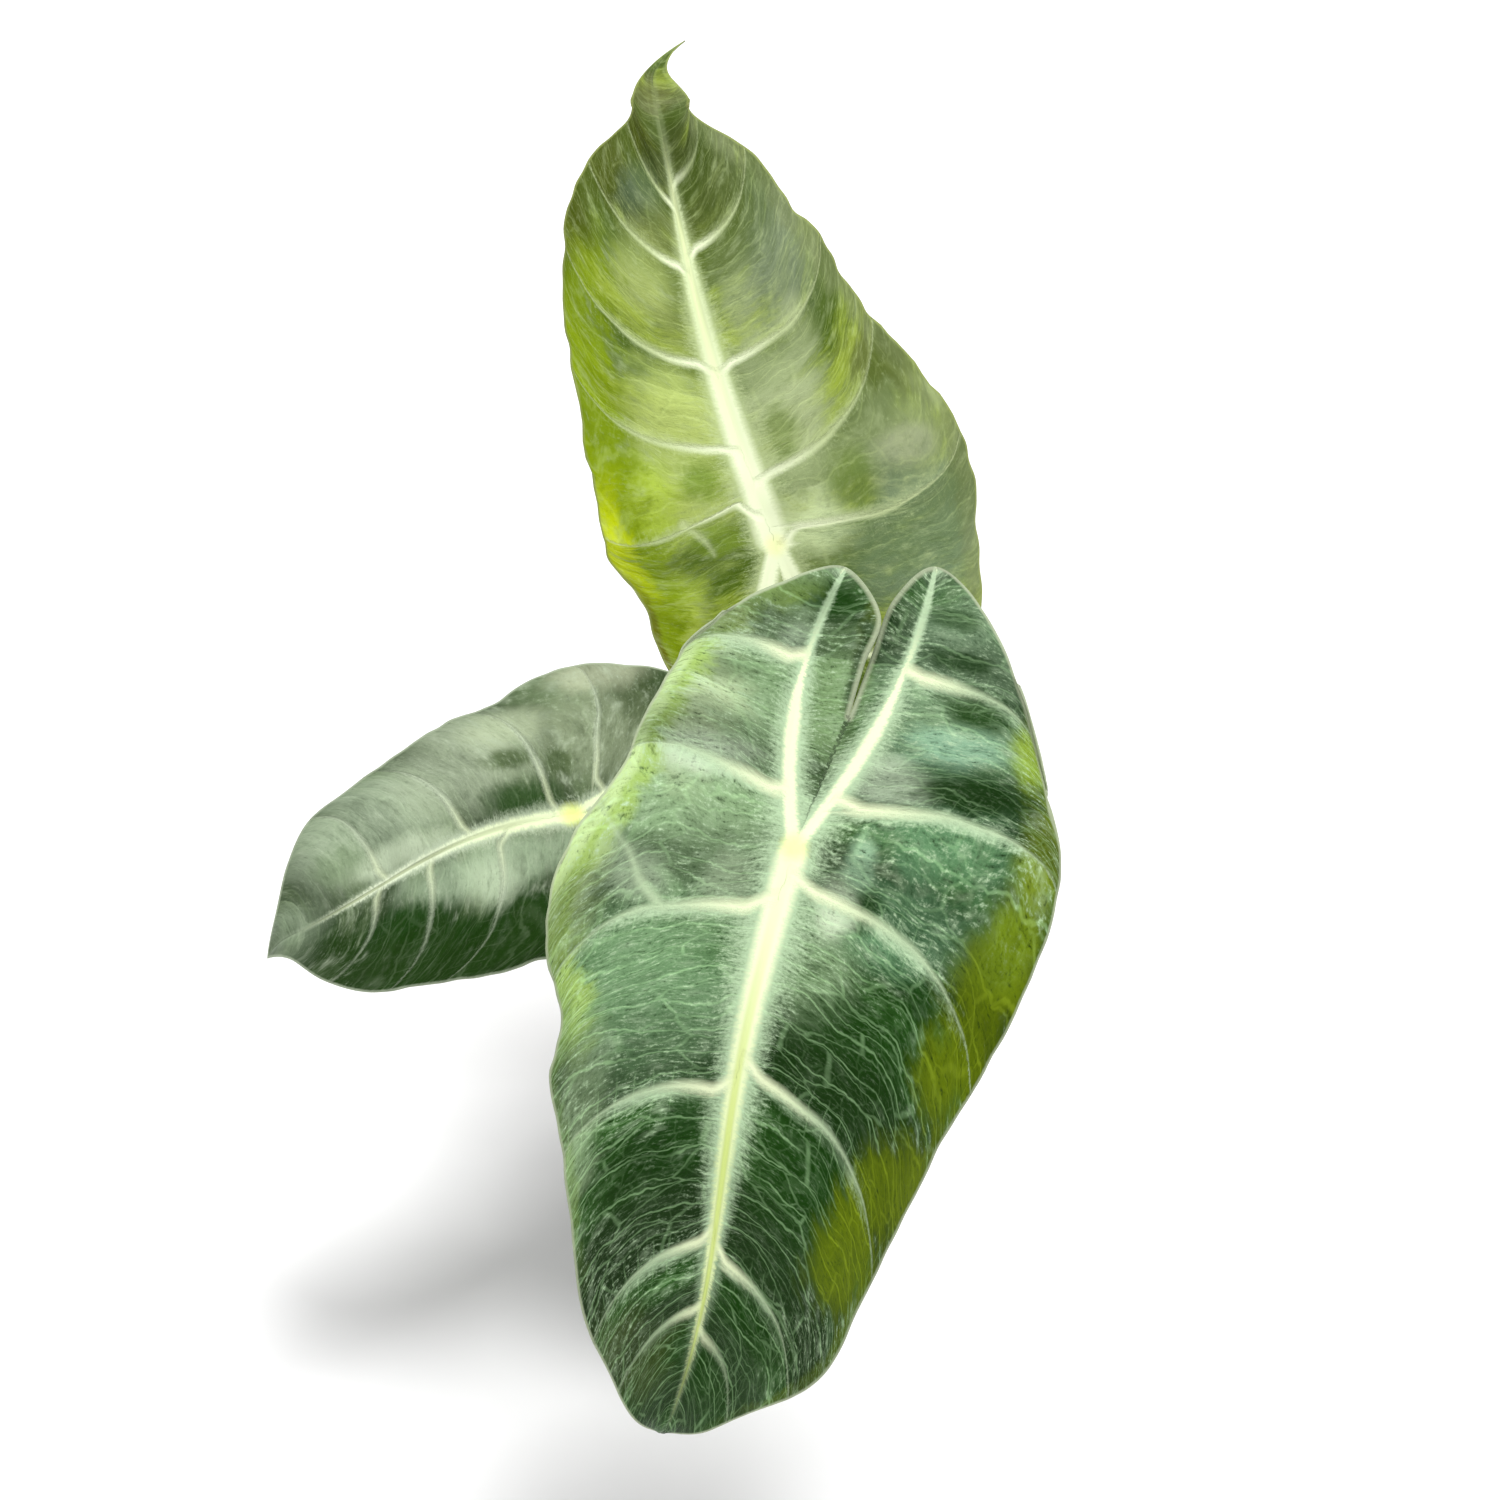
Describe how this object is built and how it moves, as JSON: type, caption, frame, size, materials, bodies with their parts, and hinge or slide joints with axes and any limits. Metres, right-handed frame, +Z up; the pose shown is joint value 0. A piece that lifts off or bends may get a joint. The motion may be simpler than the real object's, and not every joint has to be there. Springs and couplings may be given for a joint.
{
  "type": "potted pink dragon alocasia",
  "caption": "Potted alocasia with large arrow-shaped, pale-veined green leaves on pink stalks rising from a corm in soil, in a plain dark nursery pot",
  "frame": {"origin": "the middle of the pot's flat underside, on the surface that it stands on", "axes": "+Z up, out of the pot; -Y the side that the front leaf hangs to and that the picture is taken from; +X to the right of that view"},
  "size_m": [0.2188, 0.3357, 0.3274],
  "materials": {
    "pot": "matte moulded plastic",
    "soil": "loose, coarse and damp",
    "corm": "rough, fibrous",
    "petiole": "smooth, waxy",
    "blade_front": "leathery with a silvery sheen, pale veins",
    "blade_upper": "leathery, yellow-green, pale veins",
    "blade_left": "leathery, grey-green, pale veins"
  },
  "bodies": {
    "root": {"pot": "pot", "soil": "soil", "corm": "corm", "leaf_front_petiole": "petiole", "leaf_upper_petiole": "petiole", "leaf_left_petiole": "petiole", "leaf_front_blade": "blade_front", "leaf_upper_blade": "blade_upper", "leaf_left_blade": "blade_left"}
  },
  "joints": []
}
